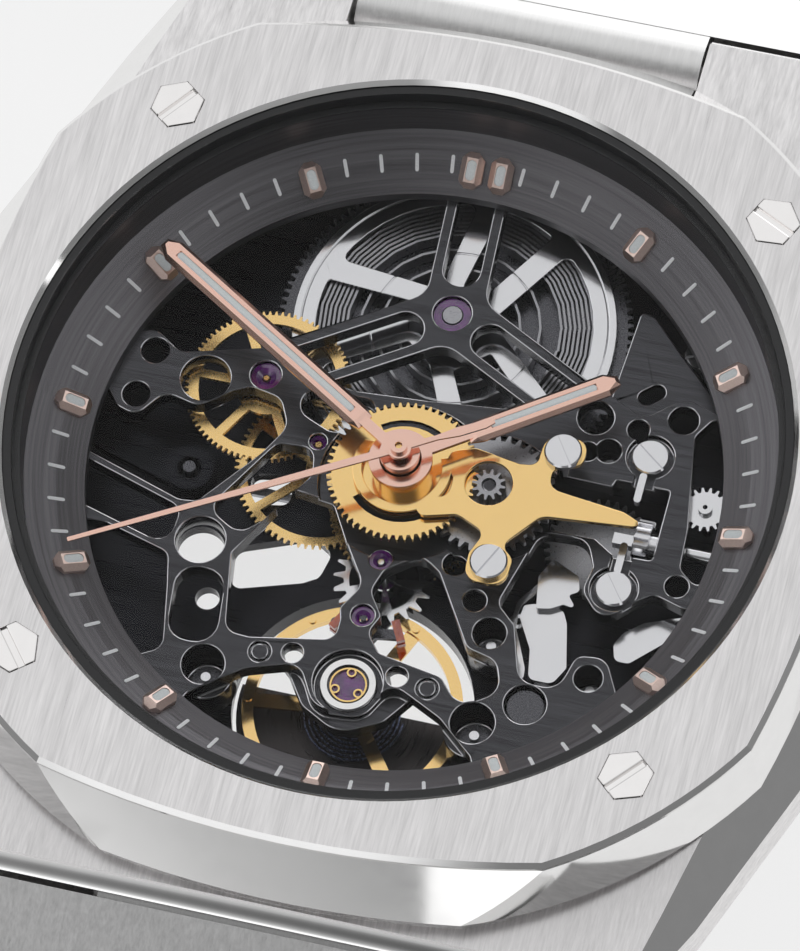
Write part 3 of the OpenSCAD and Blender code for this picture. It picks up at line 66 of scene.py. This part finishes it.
class Shader:
    """A node material being built: adds nodes and links them."""

    def __init__(self, name):
        self.material = bpy.data.materials.new(name)
        self.material.use_nodes = True
        self.tree = self.material.node_tree
        self.bsdf = self.tree.nodes["Principled BSDF"]

    def node(self, kind, **values):
        made = self.tree.nodes.new(kind)
        for key, value in values.items():
            setattr(made, key, value)
        return made

    def link(self, source, target):
        self.tree.links.new(source, target)

    def set(self, **values):
        for key, value in values.items():
            self.bsdf.inputs[key.replace("_", " ")].default_value = value

    def position(self):
        """Place on the object, in millimetres."""
        coord = self.node("ShaderNodeTexCoord")
        scale = self.node("ShaderNodeVectorMath", operation="SCALE")
        scale.inputs["Scale"].default_value = 1 / MM
        self.link(coord.outputs["Object"], scale.inputs[0])
        return scale.outputs[0]

    def stretched(self, vector, per_mm):
        mapping = self.node("ShaderNodeMapping")
        mapping.inputs["Scale"].default_value = per_mm
        self.link(vector, mapping.inputs["Vector"])
        return mapping.outputs[0]

    def noise(self, vector, scale=1.0, detail=3.0, rough=0.6):
        made = self.node("ShaderNodeTexNoise")
        made.inputs["Scale"].default_value = scale
        made.inputs["Detail"].default_value = detail
        made.inputs["Roughness"].default_value = rough
        self.link(vector, made.inputs["Vector"])
        return made.outputs["Fac"]

    def math(self, operation, a, b=None):
        made = self.node("ShaderNodeMath", operation=operation)
        for socket, value in zip(made.inputs, (a, b)):
            if value is None:
                continue
            if isinstance(value, (int, float)):
                socket.default_value = value
            else:
                self.link(value, socket)
        return made.outputs[0]

    def spread(self, value, low, high, from_low=0.3, from_high=0.7):
        made = self.node("ShaderNodeMapRange")
        made.inputs["From Min"].default_value = from_low
        made.inputs["From Max"].default_value = from_high
        made.inputs["To Min"].default_value = low
        made.inputs["To Max"].default_value = high
        self.link(value, made.inputs["Value"])
        return made.outputs[0]

    def ramp(self, value, dark, light):
        """A colour between dark and light as value goes from 0.3 to 0.7."""
        made = self.node("ShaderNodeValToRGB")
        made.color_ramp.elements[0].position = 0.3
        made.color_ramp.elements[0].color = (*dark, 1)
        made.color_ramp.elements[1].position = 0.7
        made.color_ramp.elements[1].color = (*light, 1)
        self.link(value, made.inputs[0])
        return made.outputs[0]

    def tint(self, value, colour, contrast):
        """Base colour that varies by contrast to either side of colour."""
        shades = self.ramp(value, shade(colour, 1 - contrast), shade(colour, 1 + contrast))
        self.link(shades, self.bsdf.inputs["Base Color"])

    def bump(self, value, strength, distance_mm):
        made = self.node("ShaderNodeBump")
        made.inputs["Strength"].default_value = strength
        made.inputs["Distance"].default_value = distance_mm * MM
        self.link(value, made.inputs["Height"])
        self.link(made.outputs[0], self.bsdf.inputs["Normal"])


def shade(colour, factor):
    return tuple(min(1.0, c * factor) for c in colour)


# ---------- materials ----------

def brushed(name, colour, direction="y", rough=0.34, contrast=0.10, depth=0.5, per_mm=9.0,
            along=0.5):
    """Metal with straight brush lines running along one axis."""
    s = Shader(name)
    lines = tuple(along if axis == direction else per_mm for axis in "xyz")
    place = s.position()
    fine = s.noise(s.stretched(place, lines), detail=5)
    broad = s.noise(s.stretched(place, tuple(v * 0.28 for v in lines)), detail=2)
    both = s.math("ADD", s.math("MULTIPLY", fine, 0.65), s.math("MULTIPLY", broad, 0.35))
    s.tint(both, colour, contrast)
    s.link(s.spread(both, rough - 0.07, rough + 0.09), s.bsdf.inputs["Roughness"])
    s.bump(fine, depth, 0.006)
    s.set(Metallic=1.0)
    return s.material


def turned(name, colour, rough=0.34, contrast=0.12, centre=(0.0, 0.0)):
    """Metal with circular brush lines about a vertical axis."""
    s = Shader(name)
    place = s.position()
    moved = s.node("ShaderNodeVectorMath", operation="SUBTRACT")
    moved.inputs[1].default_value = (centre[0], centre[1], 0)
    s.link(place, moved.inputs[0])
    split = s.node("ShaderNodeSeparateXYZ")
    s.link(moved.outputs[0], split.inputs[0])
    x, y, z = split.outputs
    radius = s.math("SQRT", s.math("ADD", s.math("MULTIPLY", x, x), s.math("MULTIPLY", y, y)))
    angle = s.math("ARCTAN2", y, x)
    join = s.node("ShaderNodeCombineXYZ")
    s.link(s.math("MULTIPLY", radius, TURNED_PER_MM), join.inputs[0])
    s.link(s.math("MULTIPLY", angle, TURNED_PER_RADIAN), join.inputs[1])
    s.link(s.math("MULTIPLY", z, TURNED_PER_MM), join.inputs[2])
    lines = s.noise(join.outputs[0], detail=4)
    s.tint(lines, colour, contrast)
    s.link(s.spread(lines, rough - 0.06, rough + 0.08), s.bsdf.inputs["Roughness"])
    s.bump(lines, 0.4, 0.005)
    s.set(Metallic=1.0)
    return s.material


def polished(name, colour, rough=0.08):
    """Mirror-polished metal with the faintest haze and hairlines."""
    s = Shader(name)
    place = s.position()
    haze = s.noise(s.stretched(place, (1.3, 1.3, 1.3)), detail=4)
    hair = s.noise(s.stretched(place, (22, 1.5, 6)), detail=2)
    s.link(s.ramp(haze, shade(colour, 0.97), colour), s.bsdf.inputs["Base Color"])
    s.link(s.spread(haze, rough * 0.85, rough * 1.2), s.bsdf.inputs["Roughness"])
    s.bump(hair, 0.04, 0.001)
    s.set(Metallic=1.0)
    return s.material


def satin(name, colour, rough=0.3, contrast=0.08):
    """Evenly grained metal, as on gilt and plated small parts."""
    s = Shader(name)
    grain = s.noise(s.position(), scale=14, detail=4)
    s.tint(grain, colour, contrast)
    s.link(s.spread(grain, rough - 0.05, rough + 0.07), s.bsdf.inputs["Roughness"])
    s.bump(grain, 0.15, 0.003)
    s.set(Metallic=1.0)
    return s.material


def paste(name, colour, rough=0.6):
    """Matt luminous filling or print with a fine powdery grain."""
    s = Shader(name)
    grain = s.noise(s.position(), scale=18, detail=3)
    s.link(s.ramp(grain, shade(colour, 0.9), shade(colour, 1.07)), s.bsdf.inputs["Base Color"])
    s.link(s.spread(grain, rough - 0.08, rough + 0.08), s.bsdf.inputs["Roughness"])
    s.bump(grain, 0.25, 0.008)
    return s.material


def rubber(name, colour):
    """Matt black elastomer."""
    s = Shader(name)
    grain = s.noise(s.position(), scale=9, detail=3)
    s.link(s.ramp(grain, colour, shade(colour, 1.8)), s.bsdf.inputs["Base Color"])
    s.link(s.spread(grain, 0.38, 0.55), s.bsdf.inputs["Roughness"])
    s.bump(grain, 0.1, 0.01)
    return s.material


def stone(name, colour, deep):
    """Synthetic ruby, coloured through and glossy."""
    s = Shader(name)
    cloud = s.noise(s.position(), scale=2.2, detail=2)
    s.link(s.ramp(cloud, deep, colour), s.bsdf.inputs["Base Color"])
    s.link(s.spread(cloud, 0.04, 0.1), s.bsdf.inputs["Roughness"])
    s.set(IOR=1.77, Coat_Weight=0.6)
    return s.material


def clear_glass(name):
    """Coated sapphire: see-through, with only a thin surface gloss and a trace of dust in it."""
    s = Shader(name)
    dust = s.noise(s.position(), scale=0.8, detail=4)
    mix = s.node("ShaderNodeMixShader")
    clear = s.node("ShaderNodeBsdfTransparent")
    gloss = s.node("ShaderNodeBsdfGlossy")
    s.link(s.spread(dust, 0.0, 0.04), gloss.inputs["Roughness"])
    edge = s.node("ShaderNodeLayerWeight")
    edge.inputs["Blend"].default_value = 0.5
    glare = s.math("MULTIPLY", s.math("POWER", edge.outputs["Facing"], 4.0), 0.3)
    s.link(s.math("ADD", glare, 0.008), mix.inputs[0])
    s.link(clear.outputs[0], mix.inputs[1])
    s.link(gloss.outputs[0], mix.inputs[2])
    out = next(n for n in s.tree.nodes if n.type == "OUTPUT_MATERIAL")
    s.link(mix.outputs[0], out.inputs["Surface"])
    s.material.blend_method = "BLEND"
    return s.material


STEEL_BRUSHED = brushed("steel_brushed", (0.78, 0.765, 0.765), "y", contrast=0.2, depth=0.8,
                        per_mm=10, along=0.45)
STEEL_LINK = brushed("steel_link_brushed", shade(STEEL, 0.97), "y", per_mm=11, contrast=0.09)
STEEL_BARE = turned("steel_turned", shade(STEEL, 0.9))
STEEL_POLISHED = polished("steel_polished", shade(STEEL, 1.1))
SCREW_POLISHED = polished("screw_polished", (0.97, 0.95, 0.94), rough=0.06)
PLATE = brushed("plate_black", BLACK_PLATE, "x", rough=0.33, contrast=0.5, depth=0.7, per_mm=11,
                along=0.35)
# Train bridge deck: the black plate colour made far darker, painted shade for the deck lying
# beneath the upper plates; the brushing is its own finish.
DECK_SHADED = brushed("deck_black_painted_shade", (0.017, 0.017, 0.02), "x", rough=0.3, contrast=0.4, depth=0.6,
               per_mm=11, along=0.3)
PLATE_EDGE = polished("plate_edge", (0.55, 0.55, 0.57), rough=0.14)
# Upright plate walls: the black plate colour darkened to painted shade on the slot walls; the
# satin grain is their own finish.
PLATE_WALL_SHADED = satin("plate_wall_painted_shade", (0.022, 0.022, 0.025), rough=0.2, contrast=0.25)
# Glossy black for the train bridge's sides and the pallet bridge: the gloss is their own finish,
# the extra darkness is painted shade down in the movement.
PLATE_GLOSS_SHADED = satin("plate_gloss_painted_shade", (0.014, 0.014, 0.016), rough=0.13, contrast=0.25)
PLATE_BACK = turned("plate_back", (0.05, 0.045, 0.045), rough=0.3, contrast=0.25,
                    centre=BALANCE_AT)
RING = turned("ring_dark", (0.15, 0.145, 0.155), rough=0.42, contrast=0.3)
GOLD = polished("gilt", GILT, rough=0.13)
GOLD_SATIN = satin("gilt_satin", GILT, rough=0.26)
ROSE_POLISHED = polished("rose_gold", ROSE, rough=0.16)
ROSE_SATIN = satin("rose_gold_satin", (0.98, 0.74, 0.66), rough=0.34)
COPPER = turned("copper_tube", (0.85, 0.38, 0.16), rough=0.14)
CHROME = polished("chrome_small_parts", (0.72, 0.72, 0.74), rough=0.14)
GREY = satin("steel_grey", (0.36, 0.36, 0.38), rough=0.3)
BLUED = satin("spring_blued", (0.2, 0.24, 0.4), rough=0.25)
RUBY = stone("ruby_purple", (0.16, 0.015, 0.22), (0.05, 0.004, 0.09))
RED = stone("ruby_red", (0.85, 0.13, 0.02), (0.4, 0.03, 0.005))
GLASS = clear_glass("sapphire")
BLACK = rubber("gasket_black", (0.012, 0.012, 0.013))
FILLING = paste("lume_filling", LUME)
PRINT = paste("tick_print", (0.85, 0.86, 0.88), rough=0.5)
DARK_STEEL = satin("steel_dark", (0.1, 0.1, 0.11), rough=0.28)

LINKS = [n for n in nodes if "_link_" in n]
CLASP = [n for n in nodes if n.startswith("clasp_")]


# ---------- materials of the CAD nodes ----------

def dress(names, *materials):
    for name in names:
        slots = nodes[name].data.materials
        slots.clear()
        for material in materials:
            slots.append(material)


def by_facing(names, flat, slanted, upright, level=0.985, steep=0.12):
    """Three finishes on one node, chosen by how each face is turned."""
    dress(names, flat, slanted, upright)
    for name in names:
        for face in nodes[name].data.polygons:
            lift = abs(face.normal.z)
            face.material_index = 0 if lift > level else (1 if lift > steep else 2)


def bevel_edges(names, width_mm, material_index=0):
    """Rounds every sharp edge, so that it catches the light; index picks the edge's finish."""
    for name in names:
        obj = nodes[name]
        weld = obj.modifiers.new("weld", "WELD")
        weld.merge_threshold = 0.0008 * MM
        bevel = obj.modifiers.new("edges", "BEVEL")
        bevel.width = width_mm * MM
        bevel.segments = 2
        bevel.limit_method = "ANGLE"
        bevel.angle_limit = math.radians(28)
        bevel.material = material_index
        bevel.use_clamp_overlap = False
        bevel.harden_normals = False


by_facing(["bezel"], STEEL_BRUSHED, STEEL_POLISHED, STEEL_POLISHED)
by_facing(["case_middle"], STEEL_BRUSHED, STEEL_POLISHED, STEEL_BRUSHED)
by_facing(LINKS + CLASP, STEEL_LINK, STEEL_LINK, STEEL_LINK)
dress(["case_back", "movement_holder", "crown_tube"], STEEL_BARE)
dress(["crown"], STEEL_POLISHED)
dress(["bezel_screws"], SCREW_POLISHED)
dress(["crystal", "case_back_crystal"], GLASS)
dress(["gaskets"], BLACK)
dress(["chapter_ring"], RING)
dress(["hour_markers"], ROSE_SATIN)
dress(["hour_hand", "minute_hand", "seconds_hand"], ROSE_POLISHED)
# The upright walls of these plates carry the painted-shade copy of the black plate colour.
by_facing(["main_plate", "barrel_bridge"], PLATE, PLATE_EDGE, PLATE_WALL_SHADED, steep=0.5)
# The lower train bridge and the pallet bridge carry the painted-shade black plate colours.
by_facing(["train_bridge"], DECK_SHADED, PLATE_GLOSS_SHADED, PLATE_GLOSS_SHADED)
dress(["pallet_bridge"], PLATE_GLOSS_SHADED)
dress(["balance_cock"], PLATE_BACK)
dress(["rotor"], GREY)
dress(["shock_setting", "motion_cover", "hour_wheel", "balance_wheel"], GOLD)
dress(["second_wheel", "third_wheel", "fourth_wheel"], GOLD_SATIN)
dress(["jewels"], RUBY)
dress(["pallet_stones"], RED)
dress(["hairspring"], BLUED)
dress(["cannon_pinion"], COPPER)
dress(["plate_screws", "keyless_levers", "setting_wheel", "barrel_cover", "escape_wheel",
       "balance_staff", "clutch_wheel", "winding_stem", "rotor_bearing"], CHROME)
dress(["pallet_fork", "barrel_drum"], DARK_STEEL)
dress(["minute_wheel", "mainspring", "crown_wheel", "ratchet_wheel"], GREY)


def dress_part(name, material, test):
    """Gives one finish to those faces of a node whose centre, in millimetres, passes the test."""
    mesh = nodes[name].data
    mesh.materials.append(material)
    last = len(mesh.materials) - 1
    for face in mesh.polygons:
        if test(face.center / MM):
            face.material_index = last


def away_from(centre, point):
    return (point.xy - Vector(centre)).length


dress_part("shock_setting", STEEL_POLISHED, lambda c: away_from(BALANCE_AT, c) > SETTING_RIM_R)
dress_part("shock_setting", DARK_STEEL,
           lambda c: (SETTING_HOLE_R < away_from(BALANCE_AT, c) <= SETTING_RIM_R
                      and c.z < SETTING_RECESS_Z))
dress_part("plate_screws", DARK_STEEL, lambda c: away_from(FLUSH_DISC_AT, c) < 1)
dress_part("plate_screws", DARK_STEEL, lambda c: LOW_SCREWS_Z[0] < c.z < LOW_SCREWS_Z[1])

bevel_edges(["main_plate", "barrel_bridge"], 0.05, 1)
bevel_edges(["motion_cover", "barrel_cover"], 0.03, 0)
bevel_edges(["bezel_screws"], 0.05, 0)


# ---------- small trim ----------

def mesh_object(name, bm, material, body):
    mesh = bpy.data.meshes.new(name)
    bm.normal_update()
    bm.to_mesh(mesh)
    bm.free()
    obj = bpy.data.objects.new(name, mesh)
    bpy.context.scene.collection.objects.link(obj)
    mesh.materials.append(material)
    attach(obj, body)


def add_pad(bm, matrix, length, width, height, steps=8):
    """A round-ended bar with a softly crowned top, lying along its own X."""
    half = (length - width) / 2
    outline = []
    for side in (1, -1):
        for i in range(steps + 1):
            a = math.pi * (i / steps - 0.5) + (0 if side > 0 else math.pi)
            x = side * half + width / 2 * math.cos(a)
            outline.append(Vector((x, width / 2 * math.sin(a), 0)))
    rings = []
    for inset, lift in ((0.0, 0.0), (0.0, height * 0.75), (0.22, height)):
        ring = []
        for p in outline:
            x = p.x - math.copysign(min(inset * width, abs(p.x)), p.x)
            ring.append(bm.verts.new(matrix @ Vector((x, p.y * (1 - 2 * inset), lift))))
        rings.append(ring)
    count = len(outline)
    for low, high in zip(rings, rings[1:]):
        for i in range(count):
            bm.faces.new((low[i], low[(i + 1) % count], high[(i + 1) % count], high[i]))
    bm.faces.new(rings[-1])
    bm.faces.new(list(reversed(rings[0])))


def clock_matrix(clock_deg, radius, z, tilt_deg=0.0, along=0.0):
    """A frame at a dial angle: X points outward and up by tilt_deg; along shifts it sideways."""
    spin = Matrix.Rotation(math.radians(90 - clock_deg), 4, "Z")
    place = Matrix.Translation((radius * MM, along * MM, z * MM))
    tilt = Matrix.Rotation(math.radians(-tilt_deg), 4, "Y")
    return spin @ place @ tilt


def minute_ticks():
    """The printed ticks between the hours, on the dial ring's slope."""
    bm = bmesh.new()
    for minute in range(60):
        if minute % 5 == 0:
            continue
        base = clock_matrix(6 * minute, TICK_R, TICK_Z, TICK_TILT)
        add_pad(bm, base, *(v * MM for v in TICK_SIZE), steps=4)
    mesh_object("minute_ticks", bm, PRINT, "watch_case")


minute_ticks()


def marker_fillings():
    """The luminous bars on the applied hour markers, two of them at twelve o'clock."""
    bm = bmesh.new()
    for hour in range(1, 13):
        for shift in ((-TWIN_MARKER_SHIFT, TWIN_MARKER_SHIFT) if hour == 12 else (0,)):
            base = clock_matrix(30 * hour, MARKER_R, MARKER_Z, MARKER_TILT, shift)
            raised = base @ Matrix.Translation((0, 0, MARKER_LIFT * MM))
            add_pad(bm, raised, *(v * MM for v in MARKER_SIZE))
    mesh_object("marker_fillings", bm, FILLING, "watch_case")


marker_fillings()


def hand_filling(name, clock_deg, start, stop, z, body):
    """The luminous bar on a long hand, between two distances from the watch's axis."""
    bm = bmesh.new()
    base = clock_matrix(clock_deg, (start + stop) / 2, z)
    length = stop - start - HAND_FILLING_GAP
    add_pad(bm, base, length * MM, HAND_FILLING_WIDTH * MM, HAND_FILLING_HEIGHT * MM)
    mesh_object(name, bm, FILLING, body)


hand_filling("hour_hand_filling", HOUR_HAND_DEG, start=3.9, stop=8.5, z=8.22, body="hour")
hand_filling("minute_hand_filling", MINUTE_HAND_DEG, start=2.7, stop=13.0, z=8.78, body="minute")


# ---------- studio ----------

DARKEST_SKY = 0.03
FLOOR_SIZE = 1.5
FLOOR_GLOW = (0.76, 0.34)
FLOOR_FADE_MM = (90, 330)


def floor():
    mesh = bpy.data.meshes.new("floor")
    bm = bmesh.new()
    bmesh.ops.create_grid(bm, x_segments=8, y_segments=8, size=FLOOR_SIZE)
    bm.to_mesh(mesh)
    bm.free()
    obj = bpy.data.objects.new("floor", mesh)
    bpy.context.scene.collection.objects.link(obj)
    s = Shader("floor_white")
    grain = s.noise(s.position(), scale=0.05, detail=2)
    s.link(s.ramp(grain, (0.15, 0.15, 0.15), (0.17, 0.17, 0.17)), s.bsdf.inputs["Base Color"])
    s.set(Roughness=0.7)
    s.bsdf.inputs["Emission Color"].default_value = (1, 1, 1, 1)
    away = s.node("ShaderNodeVectorMath", operation="LENGTH")
    s.link(s.position(), away.inputs[0])
    glow = s.spread(away.outputs["Value"], *FLOOR_GLOW, *FLOOR_FADE_MM)
    s.link(glow, s.bsdf.inputs["Emission Strength"])
    mesh.materials.append(s.material)


floor()


def panel(name, towards, distance, size, radiance):
    """A soft light panel in one direction from the watch, evenly as bright as radiance."""
    data = bpy.data.lights.new(name, "AREA")
    data.shape = "RECTANGLE"
    data.size, data.size_y = size
    data.energy = radiance * math.pi * size[0] * size[1]
    obj = bpy.data.objects.new(name, data)
    bpy.context.scene.collection.objects.link(obj)
    obj.location = Vector(towards).normalized() * distance
    obj.rotation_euler = (-obj.location).to_track_quat("-Z", "Y").to_euler()


panel("overhead_panel", (-0.17, 0.41, 0.9), 0.8, (0.3, 0.24), 0.05)
panel("edge_panel", (0.75, 0.1, 0.5), 0.7, (0.06, 0.4), 1.2)
panel("front_panel", (0.28, -0.95, 0.1), 0.7, (0.36, 0.2), 1.0)


def studio_sky(stops, glows):
    """A soft tent: brightness by height above the table, plus glows (direction, from, to, level).

    A glow grows from nothing to its level as the cosine to its direction goes from 'from' to 'to';
    a negative level is a dark flag."""
    world = bpy.data.worlds.new("studio")
    bpy.context.scene.world = world
    world.use_nodes = True
    tree = world.node_tree
    coord = tree.nodes.new("ShaderNodeTexCoord")
    split = tree.nodes.new("ShaderNodeSeparateXYZ")
    tree.links.new(coord.outputs["Generated"], split.inputs[0])
    height = tree.nodes.new("ShaderNodeValToRGB")
    ramp = height.color_ramp
    while len(ramp.elements) < len(stops):
        ramp.elements.new(0.5)
    for element, (place, level) in zip(ramp.elements, stops):
        element.position = place
        element.color = (level, level, level, 1)
    tree.links.new(split.outputs["Z"], height.inputs[0])
    total = height.outputs[0]
    for direction, start, stop, level in glows:
        dot = tree.nodes.new("ShaderNodeVectorMath")
        dot.operation = "DOT_PRODUCT"
        dot.inputs[1].default_value = Vector(direction).normalized()
        tree.links.new(coord.outputs["Generated"], dot.inputs[0])
        glow = tree.nodes.new("ShaderNodeMapRange")
        glow.interpolation_type = "SMOOTHSTEP"
        for socket, value in zip(glow.inputs[1:5], (start, stop, 0.0, level)):
            socket.default_value = value
        tree.links.new(dot.outputs["Value"], glow.inputs["Value"])
        add = tree.nodes.new("ShaderNodeMath")
        tree.links.new(total, add.inputs[0])
        tree.links.new(glow.outputs[0], add.inputs[1])
        total = add.outputs[0]
    limited = tree.nodes.new("ShaderNodeMath")
    limited.operation = "MAXIMUM"
    limited.inputs[1].default_value = DARKEST_SKY
    tree.links.new(total, limited.inputs[0])
    background = tree.nodes["Background"]
    background.inputs["Color"].default_value = (0.99, 0.995, 1.0, 1)
    tree.links.new(limited.outputs[0], background.inputs["Strength"])


studio_sky([(0.0, 0.32), (0.42, 0.2), (0.64, 0.74), (1.0, 0.84)],
           [((-0.1, 0.97, 0.2), 0.84, 0.98, 1.4),
            ((-0.85, 0.35, 0.35), 0.8, 0.95, 0.55),
            ((-0.25, -0.9, 0.4), 0.93, 0.985, 0.8),
            ((0.15, -0.47, 0.87), 0.85, 0.97, -0.7)])


# ---------- camera ----------

CAMERA_AT = Vector((54.21, -132.41, 297.86)) * MM
RIGHT = Vector((0.96594, 0.25004, -0.06656))
UP = Vector((-0.19726, 0.87808, 0.43596))
SENSOR_MM = 36
LENS_MM = 359.98
camera_data = bpy.data.cameras.new("camera")
camera_data.sensor_width = SENSOR_MM
camera_data.sensor_fit = "HORIZONTAL"
camera_data.lens = LENS_MM
camera_data.clip_start = 0.01
camera = bpy.data.objects.new("camera", camera_data)
bpy.context.scene.collection.objects.link(camera)
BACK = RIGHT.cross(UP)
camera_turn = Matrix((RIGHT, UP, BACK)).transposed().to_4x4()
camera.matrix_world = Matrix.Translation(CAMERA_AT) @ camera_turn
bpy.context.scene.camera = camera
bpy.context.scene.view_settings.view_transform = "Standard"

bpy.context.view_layer.update()
